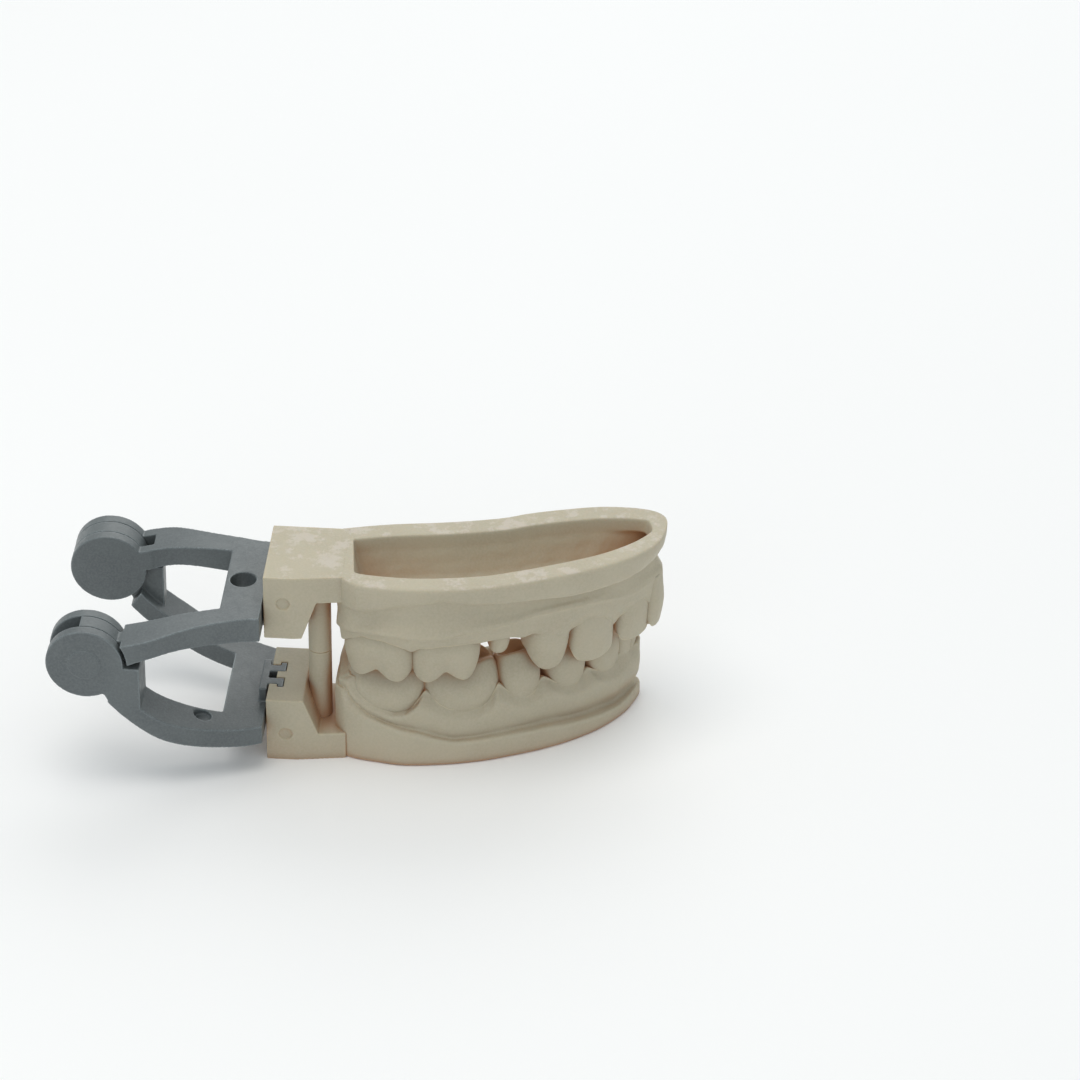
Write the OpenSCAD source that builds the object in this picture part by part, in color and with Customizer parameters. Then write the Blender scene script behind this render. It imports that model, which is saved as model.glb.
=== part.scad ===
// Study model of one side of a patient's mouth on a clip-on hinge articulator.
// Two printed arch halves close on a pair of stop posts. Each one slides onto a
// moulded frame by a two-prong clip, and the two frames turn on one hinge line.
// Modelled closed and standing on its lower base, in millimetres, +Z up.
// Lengths are drawn from the lower block's left, front, bottom corner, and place()
// moves everything so that the origin is at the bottom centre of the whole model.

/* [Model] */
// Height of the closed model
model_h = 35.4; // [34.6:0.1:36]
// Depth of the connector blocks, front to back
block_d = 15.2; // [14.8:0.1:15.6]
// Height of a connector block
block_h = 11.6; // [11.2:0.1:11.8]
// Width of a block at its mating face
block_w = 6; // [5.6:0.1:6.2]
// Width of a block at the shelf, past its slanted side
block_foot_w = 8.4; // [8:0.1:8.8]
// Height of the shelf between a block and its arch
shelf_h = 4.9; // [4.4:0.1:5.4]
// Radius of a stop post
post_r = 1.87; // [1.6:0.05:2]

/* [Articulator] */
// Radius of the hinge discs
disc_r = 6.2; // [5.8:0.1:6.4]
// Width of one hinge barrel
barrel_w = 6.6; // [6.4:0.1:7]
// Thickness of the middle tongue of a barrel
tongue_w = 2.8; // [2.4:0.1:3]
// Side clearance between the tongue and each fork disc
tongue_gap = 0.1; // [0.05:0.05:0.2]
// Radius of the moulded hinge pin
pin_r = 1.6; // [1.4:0.1:1.8]
// Radial running clearance of the pin in its bore
pin_clearance = 0.05; // [0.03:0.01:0.1]
// Thickness of the upper frame's plate
upper_t = 4.4; // [4:0.1:4.6]
// Thickness of the lower frame's plate
lower_t = 3.4; // [3.2:0.1:3.8]
// Distance over the outer faces of the two barrels
frame_span = 34; // [33.6:0.1:34.4]
// Clearance between a clip and its slot
clip_gap = 0.1; // [0.05:0.05:0.15]

/* [Arch bases] */
// Width of the flat rim around a hollow
rim_w = 3.8; // [3.4:0.1:4]
// Height of the rounded band beside a rim
band_h = 2.6; // [2.2:0.1:3]
// Depth of the hollow in the upper base
upper_hollow = 8.5; // [7:0.5:8.5]
// Depth of the hollow in the lower base
lower_hollow = 7; // [5:0.5:8]

/* [Hidden] */
$fn = 48;
big = 80;

mid_y = block_d / 2 - 0.1;
hinge_x = -27.65;
hinge_z = 23.56;
post_x = 8.2;
post_y = 7;
shelf_end = 12.8;
x_min = hinge_x - disc_r;
x_max = 63.3;
boss_h = 0.25;
y_min = mid_y - frame_span / 2 - boss_h;
y_max = 25.7;

module resin() {
  color([0.70, 0.64, 0.54]) children();
}

module grey() {
  color([0.36, 0.40, 0.42]) children();
}

module place() {
  translate([-(x_min + x_max) / 2, -(y_min + y_max) / 2, 0]) children();
}

// The upper half is drawn standing on its rim, then turned over.
module turned_over() {
  translate([0, 0, model_h]) mirror([0, 0, 1]) children();
}

// An outline in X and Z, thick in Y and centred on y.
module slab(y, thick) {
  translate([0, y + thick / 2, 0]) rotate([90, 0, 0]) linear_extrude(thick) children();
}

module rod(x, y, z, r, length) {
  translate([x, y + length / 2, z]) rotate([90, 0, 0]) cylinder(r = r, h = length);
}

// ---- Curves ----

function arc(x, z, r, from, to, n) =
  [for (i = [0:n]) let (a = from + (to - from) * i / n) [x + r * cos(a), z + r * sin(a)]];

function spline_span(a, b, c, d, t) =
  0.5 * (2 * b + (c - a) * t + (2 * a - 5 * b + 4 * c - d) * t * t
         + (3 * b - 3 * c + d - a) * t * t * t);

span_steps = 8;

// A smooth curve through the points of p, as a list of close points.
function spline(p) =
  [for (i = [0:len(p) - 2]) for (j = [0:i == len(p) - 2 ? span_steps : span_steps - 1])
    spline_span(p[max(i - 1, 0)], p[i], p[i + 1], p[min(i + 2, len(p) - 1)], j / span_steps)];

function lengths(q, i = 1, sum = [0]) =
  i == len(q) ? sum : lengths(q, i + 1, concat(sum, [sum[i - 1] + norm(q[i] - q[i - 1])]));

// A curve as two tables of length against X and against Y, and its full length.
function track(p) =
  let (q = spline(p), s = lengths(q))
  [[for (i = [0:len(q) - 1]) [s[i], q[i][0]]], [for (i = [0:len(q) - 1]) [s[i], q[i][1]]],
   s[len(s) - 1]];

function along(track, s) = [lookup(s, track[0]), lookup(s, track[1])];

function heading(track, s) =
  let (d = along(track, s + 0.5) - along(track, s - 0.5)) d / norm(d);

// A closed skin over a stack of rings. Each end is closed by a strip of faces from
// the first half of its ring to the second half.
module skin(rings) {
  n = len(rings[0]);
  top = (len(rings) - 1) * n;
  walls = [for (j = [0:len(rings) - 2]) for (i = [0:n - 1])
    let (a = j * n + i, b = j * n + (i + 1) % n) each [[a, a + n, b + n], [a, b + n, b]]];
  caps = [for (i = [0:n / 2 - 2]) let (a = i, b = i + 1, c = n - 2 - i, d = n - 1 - i) each [
    [a, b, c], [a, c, d], [top + a, top + c, top + b], [top + a, top + d, top + c]]];
  polyhedron([for (r = rings) for (p = r) p], concat(walls, caps));
}

// ---- Arch bases ----

// Outlines of the rims in plan: the cheek side, then the tongue side, each from the
// molar end.
upper_rim = track([[10.9, 3], [12.6, 0.9], [14.2, -0.4], [16.5, -1.3], [24.8, -1.7], [34.6, -0.3],
                   [41, 1.8], [47.2, 4.4], [53.5, 7.5], [58.1, 10.7], [61.2, 13.9],
                   [62.7, 16.9], [63.2, 19.6], [63.3, 21.6]]);
upper_rim_back = track([[11.2, 15.6], [18.6, 17.4], [28.2, 18.9], [36.2, 20.7],
                        [41, 22.6], [46, 24.1], [51.5, 25.4], [55.5, 25.7], [59, 25.5],
                        [61.5, 24.7], [62.9, 23.3], [63.3, 21.6]]);
lower_rim = track([[10.9, 3.4], [12.4, 1.7], [14.2, 0.9], [17.6, 0.2], [22.5, -0.4], [29, 0.4],
                   [34.6, 1.8], [39.3, 3.6], [44.1, 5.8], [48.8, 8.6], [53.5, 12.5],
                   [57.2, 17.3], [58.9, 21.4], [59.4, 23.4]]);

// Outlines of the gums, which the teeth stand along.
upper_front = track([[10.9, 3], [14.6, -0.4], [24.6, -1.9], [38.3, 1.9], [51.8, 9.6],
                     [59.4, 15.8], [62.6, 19.8], [63.3, 22.2]]);
upper_back = track([[11.2, 15.6], [22.8, 18], [36.7, 21.6], [50.8, 25.2], [56.5, 25.7],
                    [60.6, 25.2], [62.7, 24], [63.3, 22.2]]);
lower_front = track([[10.9, 3.2], [15, 1], [24.5, 0.5], [36, 3.4], [47.5, 9.7],
                     [55.4, 16.4], [58.8, 21.4], [59.4, 23.4]]);
lower_back = track([[11.4, 15.2], [22.8, 17.2], [36.7, 20.4], [47, 23.2], [53, 24.9],
                    [57, 25.3], [58.9, 24.8], [59.4, 23.4]]);

base_steps = 18;
tip_draw = 1.6;

// One ring of a base, moved in from its outline. height(k) is its height from the
// molar end, k = 0, to the tip, k = 1.
function base_ring(front, back, inset, height) =
  [for (i = [0:2 * base_steps - 1])
    let (
      fore = i < base_steps,
      k = (fore ? i : 2 * base_steps - 1 - i) / (base_steps - 1),
      f = along(front, inset + k * (front[2] - inset * (1 + tip_draw))),
      b = along(back, inset + k * (back[2] - inset * (1 + tip_draw))),
      gap = max(norm(b - f), 0.01),
      room = min(inset, gap / 2 - 0.1),
      p = fore ? f + (b - f) * room / gap : b + (f - b) * room / gap
    )
    [p[0], p[1], height(k)]];

function level(h) = function(k) h;

// Rings from the floor of the hollow, out over the rim and to the foot of the band.
function rim_rings(front, back, hollow, band) = [
  base_ring(front, back, rim_w + 3.4, level(hollow)),
  base_ring(front, back, rim_w + 1.3, level(hollow - 2.6)),
  base_ring(front, back, rim_w, level(0)),
  base_ring(front, back, 0.4, level(0)),
  base_ring(front, back, 0, level(0.5)),
  base_ring(front, back, 0.05, band)];

// Rings from the band up the gum to the ridge under the teeth.
function gum_rings(front, back, band, waist, ridge) = [
  base_ring(front, back, waist, function(k) band(k) + 1.3),
  base_ring(front, back, 1.1, function(k) max(band(k) + 1.8, ridge - 3)),
  base_ring(front, back, 1.3, function(k) max(band(k) + 2.2, ridge - 1.2)),
  base_ring(front, back, 2.4, function(k) max(band(k) + 2.6, ridge))];

module upper_base() {
  place() turned_over() resin()
    skin(concat(rim_rings(upper_rim, upper_rim_back, upper_hollow, level(band_h)),
                gum_rings(upper_front, upper_back, level(band_h), 1.2, 11.6)));
}

// The band climbs behind the last molar.
lower_band = function(k) 3 + 11.5 * exp(-k / 0.13);

module lower_base() {
  place() resin()
    skin(concat(rim_rings(lower_rim, lower_back, lower_hollow, lower_band),
                gum_rings(lower_front, lower_back, lower_band, 0.9, 11.2)));
}

// ---- Connector blocks and stop posts ----

clip_stem = [0.95, 2.65];
clip_hook = 3.4;
clip_hook_x = [1.4, 2.3];
clip_bottom = 5.5;

// One prong: a stem with a hook that points away from the middle.
module prong(side, grow) {
  stem_d = clip_stem[1] - clip_stem[0] + 2 * grow;
  mirror([0, side, 0]) {
    translate([-1 - grow, clip_stem[0] - grow])
      square([clip_hook_x[1] + 1 + 2 * grow, stem_d]);
    translate([clip_hook_x[0] - grow, clip_stem[0] - grow])
      square([clip_hook_x[1] - clip_hook_x[0] + 2 * grow, clip_hook - clip_stem[0] + 2 * grow]);
  }
}

module prongs(grow) {
  for (side = [0, 1]) prong(side, grow);
}

slot_relief = 0.05;
dimple_r = 1.1;
dimple_depth = 0.35;
dimple_x = 3.1;
dimple_z = 5;

// Where a block's front face turns back towards the arch, and how far it goes
bend_x = 4.8;
bend_depth = 1.2;

module block() {
  difference() {
    intersection() {
      slab(block_d / 2, block_d)
        polygon([[0, 0], [shelf_end, 0], [shelf_end, shelf_h], [block_foot_w, shelf_h],
                 [block_w, block_h], [0, block_h]]);
      linear_extrude(block_h)
        polygon([[0, 0], [bend_x, 0], [shelf_end, bend_depth], [shelf_end, block_d],
                 [0, block_d]]);
    }
    translate([0, mid_y, clip_bottom]) linear_extrude(block_h) prongs(clip_gap);
    translate([-1, mid_y - clip_stem[0] - slot_relief, clip_bottom])
      cube([2, 2 * (clip_stem[0] + slot_relief), block_h]);
    translate([post_x, post_y, shelf_h]) cylinder(r = post_r, h = block_h);
    rod(dimple_x, 0, dimple_z, dimple_r, 2 * dimple_depth);
  }
}

module post() {
  translate([post_x, post_y, shelf_h]) cylinder(r = post_r, h = model_h / 2 - shelf_h);
}

module lower_block() {
  place() resin() block();
}

module upper_block() {
  place() turned_over() resin() block();
}

module lower_post() {
  place() resin() post();
}

module upper_post() {
  place() turned_over() resin() post();
}

// ---- Teeth ----

crown_n = 16;
// How much narrower a crown is on its tongue side
taper = 0.12;

// Power that swells a crown's ellipse towards a rounded rectangle
square_power = 0.8;

function squared(v) = sign(v) * pow(abs(v), square_power);

// One ring of a crown. Its angles are 0 at the midline side and 90 at the tongue side.
function crown_ring(width, front, back, height) =
  [for (i = [0:crown_n - 1])
    let (a = (i + 0.5) * 360 / crown_n)
    [width / 2 * squared(cos(a)) * (1 - taper * sin(a)),
     (front + back) / 2 + (back - front) / 2 * squared(sin(a)), height(a)]];

function bump(a, at, spread) =
  let (d = (a - at + 540) % 360 - 180) exp(-pow(d / spread, 2));

function cusps(a, list) = max([for (c = list) c[1] * bump(a, c[0], c[2])]);

// Rings of one crown: root, neck, belly and shoulder, then the cusps and the pit.
// cusp_list holds [direction, height above the shoulder, spread] of each cusp.
function crown(width, depth, gum, shoulder, table, cusp_list) =
  let (rise = shoulder - gum, pit = (table[0] + table[1]) / 2) [
    crown_ring(width * 0.8, depth * 0.1, depth * 0.9, level(gum - 1.4)),
    crown_ring(width * 0.86, depth * 0.07, depth * 0.95, level(gum - 0.4)),
    crown_ring(width, 0, depth, level(gum + rise * 0.45)),
    crown_ring(width * 0.97, table[0] * 0.4, depth + (table[1] - depth) * 0.35,
               level(gum + rise * 0.85)),
    crown_ring(width * 0.82, table[0], table[1], function(a) shoulder + cusps(a, cusp_list)),
    crown_ring(width * 0.45, pit - (pit - table[0]) * 0.45, pit + (table[1] - pit) * 0.45,
               function(a) shoulder - 0.4 + 0.25 * cusps(a, cusp_list)),
    crown_ring(width * 0.12, pit - (pit - table[0]) * 0.1, pit + (table[1] - pit) * 0.1,
               level(shoulder - 0.7))];

// A crown set on the ridge: at a length along the cheek side, and in from it.
module tooth(front, at, inset, rings) {
  p = along(front, at);
  d = heading(front, at);
  n = [-d[1], d[0]];
  skin([for (r = rings) [for (q = r)
    [p[0] + d[0] * q[0] + n[0] * (q[1] + inset), p[1] + d[1] * q[0] + n[1] * (q[1] + inset),
     q[2]]]]);
}

function molar_cusps(front, back) =
  [[-55, front, 30], [-125, front, 30], [55, back, 28], [125, back, 28]];

function premolar_cusps(front, back) = [[-90, front, 45], [90, back, 40]];

function edge_cusp(tip) = [[-90, tip, 75], [90, tip, 75]];

upper_gum = 11;
lower_gum = 10;
upper_inset = 1;
lower_inset = 0.9;
prepared_inset = 3;

module upper_tooth(at, rings, inset = upper_inset) {
  place() turned_over() resin() tooth(upper_front, at, inset, rings);
}

module lower_tooth(at, rings) {
  place() resin() tooth(lower_front, at, lower_inset, rings);
}

module upper_molar_2() {
  upper_tooth(at = 8.1, rings = crown(width = 12, depth = 10.2, gum = upper_gum,
    shoulder = 16.6, table = [1.2, 8.8], cusp_list = molar_cusps(2.8, 0.8)));
}

module upper_molar_1() {
  upper_tooth(at = 20.5, rings = crown(width = 11.6, depth = 10.6, gum = upper_gum,
    shoulder = 16.6, table = [1.2, 9.2], cusp_list = molar_cusps(2.8, 0.8)));
}

module upper_prepared() {
  upper_tooth(at = 30.4, rings = crown(width = 3.6, depth = 5, gum = upper_gum,
    shoulder = 15.2, table = [1.2, 3.6], cusp_list = premolar_cusps(1.2, 0.8)),
    inset = prepared_inset);
}

module upper_premolar_1() {
  upper_tooth(at = 39.1, rings = crown(width = 7.4, depth = 8.8, gum = upper_gum,
    shoulder = 17, table = [1.2, 7.4], cusp_list = premolar_cusps(3.1, 0.5)));
}

module upper_canine() {
  upper_tooth(at = 46.9, rings = crown(width = 8.5, depth = 7.4, gum = upper_gum,
    shoulder = 18, table = [1, 2.6], cusp_list = edge_cusp(2.7)));
}

module upper_lateral() {
  upper_tooth(at = 55.5, rings = crown(width = 7, depth = 6.6, gum = upper_gum,
    shoulder = 18.4, table = [0.9, 2.1], cusp_list = edge_cusp(1.4)));
}

module upper_central() {
  upper_tooth(at = 61.4, rings = crown(width = 5, depth = 6, gum = upper_gum,
    shoulder = 18.4, table = [0.9, 2.1], cusp_list = edge_cusp(1)));
}

module lower_molar_2() {
  lower_tooth(at = 8.3, rings = crown(width = 13.4, depth = 10, gum = lower_gum,
    shoulder = 15.8, table = [2.2, 8.4], cusp_list = molar_cusps(0.8, 0.8)));
}

module lower_molar_1() {
  lower_tooth(at = 22.1, rings = crown(width = 12.8, depth = 10, gum = lower_gum,
    shoulder = 15.9, table = [2.2, 8.4], cusp_list = molar_cusps(0.8, 0.8)));
}

module lower_premolar_2() {
  lower_tooth(at = 32.7, rings = crown(width = 7.4, depth = 8.4, gum = lower_gum,
    shoulder = 16.3, table = [2.2, 6.8], cusp_list = premolar_cusps(0.8, 0.4)));
}

module lower_premolar_1() {
  lower_tooth(at = 41.5, rings = crown(width = 7.7, depth = 8, gum = lower_gum,
    shoulder = 16.5, table = [2.2, 6], cusp_list = premolar_cusps(0.9, 0.2)));
}

module lower_canine() {
  lower_tooth(at = 49.3, rings = crown(width = 6.9, depth = 7, gum = lower_gum,
    shoulder = 16.3, table = [2.4, 3.8], cusp_list = edge_cusp(0.6)));
}

module lower_lateral() {
  lower_tooth(at = 54.2, rings = crown(width = 4.6, depth = 6.2, gum = lower_gum,
    shoulder = 16.6, table = [2.2, 3.2], cusp_list = edge_cusp(0.3)));
}

module lower_central() {
  lower_tooth(at = 57.4, rings = crown(width = 3.8, depth = 5, gum = lower_gum,
    shoulder = 16.6, table = [1.8, 2.7], cusp_list = edge_cusp(0.3)));
}

// ---- Articulator frames ----

end_x = -0.25;
plate_x = -6.9;
window_half = 8.3;
inner_half = frame_span / 2 - barrel_w;
arm_end_x = -24;

// Half of a frame in plan, from the plate out to one arm.
module half_plan(side) {
  outer = spline(concat(side, [[-20.5, frame_span / 2], [arm_end_x, frame_span / 2]]));
  inner = spline([[arm_end_x, inner_half], [-18, inner_half], [-12.5, 9.4],
                  [plate_x, window_half]]);
  polygon(concat([[end_x, 0]], outer,
    [[-big, frame_span / 2], [-big, inner_half]], inner, [[plate_x, 0]]));
}

module frame_plan(side) {
  translate([0, mid_y]) {
    half_plan(side);
    mirror([0, 1]) half_plan(side);
  }
}

// The bar beside the clip, and the two prongs.
module clip(z_low, z_high) {
  bar_x = [-1.5, end_x];
  bar_half = 4.2;
  translate([bar_x[0], mid_y - bar_half, z_low])
    cube([bar_x[1] - bar_x[0], 2 * bar_half, z_high - z_low]);
  translate([0, mid_y, z_low]) linear_extrude(z_high - z_low) prongs(0);
}

end_clear_r = disc_r + 0.6;
pocket_r = disc_r + 0.35;
pocket_w = tongue_w + 2 * tongue_gap;
pin_root = 0.2;
bore_len = tongue_w + 1;
step_r = 3.4;
step_turn = 100;
upper_step_from = 98;
lower_step_from = 162;

// Two discs joined by a pin, with a pocket between them for the other tongue.
module fork(y) {
  difference() {
    union() {
      rod(hinge_x, y, hinge_z, disc_r, barrel_w);
      children();
    }
    rod(hinge_x, y, hinge_z, pocket_r, pocket_w);
  }
  rod(hinge_x, y, hinge_z, pin_r, pocket_w + 2 * pin_root);
}

// A disc with the pin's bore, and a step on the side away from the arm.
module tongue(y, step_from) {
  difference() {
    union() {
      rod(hinge_x, y, hinge_z, disc_r, tongue_w);
      children();
    }
    rod(hinge_x, y, hinge_z, pin_r + pin_clearance, bore_len);
    slab(y, bore_len)
      polygon(concat(arc(hinge_x, hinge_z, step_r, step_from, step_from + step_turn, 8),
                     arc(hinge_x, hinge_z, disc_r + 1, step_from + step_turn, step_from, 8)));
  }
}

end_slot_w = barrel_w + 4;
clip_h = 6;
upper_face = model_h - clip_bottom - upper_t;
front_y = mid_y - (frame_span - barrel_w) / 2;
rear_y = mid_y + (frame_span - barrel_w) / 2;

// Side outline of the upper frame: flat, with its arms curving down to the barrels.
upper_out_x = -2;
upper_out_r = 75;
upper_in_x = -12;
upper_in_r = 22;

module upper_side() {
  top = upper_face + upper_t;
  polygon(concat([[end_x, upper_face], [end_x, top]],
    arc(upper_out_x, top - upper_out_r, upper_out_r, 90, 107, 14), [[arm_end_x, 23]],
    arc(upper_in_x, upper_face - upper_in_r, upper_in_r, 115, 90, 10)));
}

// Half widths of the two frames, from the plate's free edge out along an arm.
upper_half = [[end_x, 11.2], [-2.5, 11.4], [-6, 12.3], [-9.8, 13.5], [-13, 14.8], [-17, 16.5]];
lower_half = [[end_x, 11.1], [-2.9, 12.2], [-6.7, 13.5], [-10.5, 15], [-13.4, 16.1], [-16.4, 16.9]];

// Side outline of the neck between an upper arm and its barrel.
neck_x = -20.3;
neck = [[-28, 25.6], [neck_x, 27.6], [neck_x, 24], [arm_end_x, 22.9]];

plate_hole_x = -4.1;
plate_hole_r = 2.1;
slot_len = 5;

module upper_frame() {
  place() grey() difference() {
    union() {
      difference() {
        intersection() {
          linear_extrude(big) frame_plan(upper_half);
          slab(mid_y, big) upper_side();
        }
        rod(hinge_x, front_y, hinge_z, end_clear_r, end_slot_w);
        rod(hinge_x, rear_y, hinge_z, pocket_r, end_slot_w);
      }
      tongue(front_y, upper_step_from) slab(front_y, tongue_w) polygon(neck);
      fork(rear_y) slab(rear_y, barrel_w) polygon(neck);
      clip(model_h - clip_bottom - clip_h, model_h - clip_bottom);
    }
    translate([neck_x - slot_len, rear_y - pocket_w / 2, 0]) cube([slot_len, pocket_w, big]);
    translate([plate_hole_x, mid_y, 0]) cylinder(r = plate_hole_r, h = big);
  }
}

// Side outline of the lower frame: its arms climb from the plate to the hinge line.
climb_x = -1;
lower_out_r = 30;
lower_in_r = 28;

module lower_side() {
  low = clip_bottom;
  high = clip_bottom + lower_t;
  polygon(concat([[end_x, high], [end_x, low]],
    arc(climb_x, low + lower_out_r, lower_out_r, 270, 219.4, 18),
    arc(climb_x, high + lower_in_r, lower_in_r, 219.8, 270, 18)));
}

// Side outline of the upright between a lower arm and its barrel.
upright_x = -18.9;
ledge_z = 23;
upright = [[upright_x, 15], [upright_x, ledge_z], [-22.6, ledge_z], [-26, 18.6],
           [-24.6, 17.8], [-23.9, 16.4], [-21, 14]];

boss_r = 2.6;
hollow_place = [-9.9, -3.1];
hollow_r = 1.4;
hollow_lift = 0.6;

module lower_frame() {
  place() grey() difference() {
    union() {
      difference() {
        intersection() {
          linear_extrude(big) frame_plan(lower_half);
          slab(mid_y, big) lower_side();
        }
        rod(hinge_x, rear_y, hinge_z, end_clear_r, end_slot_w);
        rod(hinge_x, front_y, hinge_z, pocket_r, end_slot_w);
      }
      fork(front_y) slab(front_y, barrel_w) polygon(upright);
      tongue(rear_y, lower_step_from) slab(rear_y, tongue_w) polygon(upright);
      clip(clip_bottom, clip_bottom + clip_h);
      // Plain raised boss on the front disc
      rod(hinge_x, front_y - barrel_w / 2, hinge_z, boss_r, 2 * boss_h);
    }
    // Moulding hollow in the front arm
    translate([hollow_place[0], hollow_place[1], clip_bottom + lower_t + hollow_lift])
      cylinder(r = hollow_r, h = lower_t);
  }
}

lower_base();
lower_block();
lower_post();
lower_molar_2();
lower_molar_1();
lower_premolar_2();
lower_premolar_1();
lower_canine();
lower_lateral();
lower_central();
upper_base();
upper_block();
upper_post();
upper_molar_2();
upper_molar_1();
upper_prepared();
upper_premolar_1();
upper_canine();
upper_lateral();
upper_central();
lower_frame();
upper_frame();
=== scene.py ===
# Looks of the hinged study model: two resin half arches on a clip-on hinge frame.
import math

import bmesh
import bpy
import numpy as np
from mathutils import Matrix, Vector
from mathutils.bvhtree import BVHTree


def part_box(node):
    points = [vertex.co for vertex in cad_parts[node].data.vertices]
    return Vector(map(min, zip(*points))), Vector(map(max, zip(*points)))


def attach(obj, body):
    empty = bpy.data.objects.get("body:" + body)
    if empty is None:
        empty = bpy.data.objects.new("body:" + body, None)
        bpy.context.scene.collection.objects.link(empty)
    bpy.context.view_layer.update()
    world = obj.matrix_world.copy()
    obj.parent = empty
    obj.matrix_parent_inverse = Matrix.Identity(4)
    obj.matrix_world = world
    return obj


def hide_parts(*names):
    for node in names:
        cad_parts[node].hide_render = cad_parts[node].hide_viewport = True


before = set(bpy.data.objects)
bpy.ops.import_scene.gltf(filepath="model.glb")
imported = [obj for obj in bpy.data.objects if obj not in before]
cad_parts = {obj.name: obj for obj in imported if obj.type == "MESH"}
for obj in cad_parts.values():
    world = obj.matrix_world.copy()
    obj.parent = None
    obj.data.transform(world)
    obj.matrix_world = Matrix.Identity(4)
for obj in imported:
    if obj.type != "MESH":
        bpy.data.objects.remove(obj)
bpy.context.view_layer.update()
scene = bpy.context.scene

# Shapes are drawn in millimetres from the lower block's left, front, bottom corner.
MM = 0.001
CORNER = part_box("lower_block")[0]
MODEL_H = (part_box("upper_base")[1].z - CORNER.z) / MM


# ---- Curves ----

SPLINE_STEPS = 24


def between(points, i, t):
    """Part t of the way from point i to the next one, on the smooth curve through them all."""
    last = len(points) - 1
    a, b, c, d = points[max(i - 1, 0)], points[i], points[i + 1], points[min(i + 2, last)]
    return 0.5 * (2 * b + (c - a) * t + (2 * a - 5 * b + 4 * c - d) * t ** 2
                  + (3 * b - 3 * c + d - a) * t ** 3)


def spline(points):
    """A smooth curve through the points, as many close points."""
    p = np.array(points, float)
    t = (np.arange(SPLINE_STEPS) / SPLINE_STEPS)[:, None]
    return np.vstack([between(p, i, t) for i in range(len(p) - 1)] + [p[-1:]])


class Track:
    """A plan curve that can be asked for the point at a length along it."""

    def __init__(self, points):
        self.p = spline(points)
        steps = np.linalg.norm(np.diff(self.p, axis=0), axis=1)
        self.s = np.concatenate([[0], np.cumsum(steps)])
        self.length = self.s[-1]

    def at(self, s):
        return np.stack([np.interp(s, self.s, self.p[:, i]) for i in (0, 1)], -1)

    def heading(self, s, reach=0.5):
        d = self.at(s + reach) - self.at(s - reach)
        return d / np.linalg.norm(d)


# Outlines of the rims in plan, from the molar end: cheek side, then tongue side.
UPPER_RIM = (
    Track([(10.9, 3), (12.6, 0.9), (14.2, -0.4), (16.5, -1.3), (24.8, -1.7), (34.6, -0.3),
           (41, 1.8), (47.2, 4.4), (53.5, 7.5), (58.1, 10.7), (61.2, 13.9), (62.7, 16.9), (63.2, 19.6),
           (63.3, 21.6)]),
    Track([(11.2, 15.6), (18.6, 17.4), (28.2, 18.9), (36.2, 20.7), (41, 22.6), (46, 24.1),
           (51.5, 25.4), (55.5, 25.7), (59, 25.5), (61.5, 24.7), (62.9, 23.3), (63.3, 21.6)]),
)
LOWER_BACK = Track([(11.4, 15.2), (22.8, 17.2), (36.7, 20.4), (47, 23.2), (53, 24.9),
                    (57, 25.3), (58.9, 24.8), (59.4, 23.4)])
LOWER_RIM = (
    Track([(10.9, 3.4), (12.4, 1.7), (14.2, 0.9), (17.6, 0.2), (22.5, -0.4), (29, 0.4), (34.6, 1.8),
           (39.3, 3.6), (44.1, 5.8), (48.8, 8.6), (53.5, 12.5), (57.2, 17.3), (58.9, 21.4),
           (59.4, 23.4)]),
    LOWER_BACK,
)

# Outlines of the gums, which the teeth stand along.
UPPER = (
    Track([(10.9, 3), (14.6, -0.4), (24.6, -1.9), (38.3, 1.9), (51.8, 9.6), (59.4, 15.8),
           (62.6, 19.8), (63.3, 22.2)]),
    Track([(10.3, 15.4), (22.8, 18), (36.7, 21.6), (50.8, 25.2), (56.5, 25.7), (60.6, 25.2),
           (62.7, 24), (63.3, 22.2)]),
)
LOWER = (
    Track([(10.9, 3.2), (15, 1), (24.5, 0.5), (36, 3.4), (47.5, 9.7), (55.4, 16.4),
           (58.8, 21.4), (59.4, 23.4)]),
    LOWER_BACK,
)


# ---- Meshes ----

def to_frame(points, upper):
    """From drawn millimetres to the row frame. An upper piece is drawn with its rim at 0."""
    p = np.array(points, float)
    if upper:
        p[..., 2] = MODEL_H - p[..., 2]
    return p * MM + np.array(CORNER)


def mesh_piece(name, verts, faces, body, material, replaces=()):
    mesh = bpy.data.meshes.new(name)
    bm = bmesh.new()
    made = [bm.verts.new(v) for v in verts]
    for face in faces:
        bm.faces.new([made[i] for i in face])
    bmesh.ops.remove_doubles(bm, verts=bm.verts, dist=1e-7)
    bmesh.ops.dissolve_degenerate(bm, edges=bm.edges, dist=1e-8)
    bmesh.ops.recalc_face_normals(bm, faces=bm.faces)
    bm.to_mesh(mesh)
    bm.free()
    mesh.polygons.foreach_set("use_smooth", [True] * len(mesh.polygons))
    piece = bpy.data.objects.new(name, mesh)
    scene.collection.objects.link(piece)
    mesh.materials.append(material)
    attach(piece, body)
    if replaces:
        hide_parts(*replaces)
    return piece


def ring_faces(rows, columns):
    faces = []
    for j in range(rows - 1):
        for i in range(columns):
            a, b = j * columns + i, j * columns + (i + 1) % columns
            faces.append((a, b, b + columns, a + columns))
    return faces


def smooth_rows(grid, passes):
    """Rounds a grid of points along its rows' direction and keeps its first and last row."""
    g = grid.copy()
    for _ in range(passes):
        g[1:-1] = 0.25 * g[:-2] + 0.5 * g[1:-1] + 0.25 * g[2:]
    return g


def smooth_columns(grid, passes):
    g = grid.copy()
    for _ in range(passes):
        g = 0.25 * np.roll(g, 1, 1) + 0.5 * g + 0.25 * np.roll(g, -1, 1)
    return g


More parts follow.
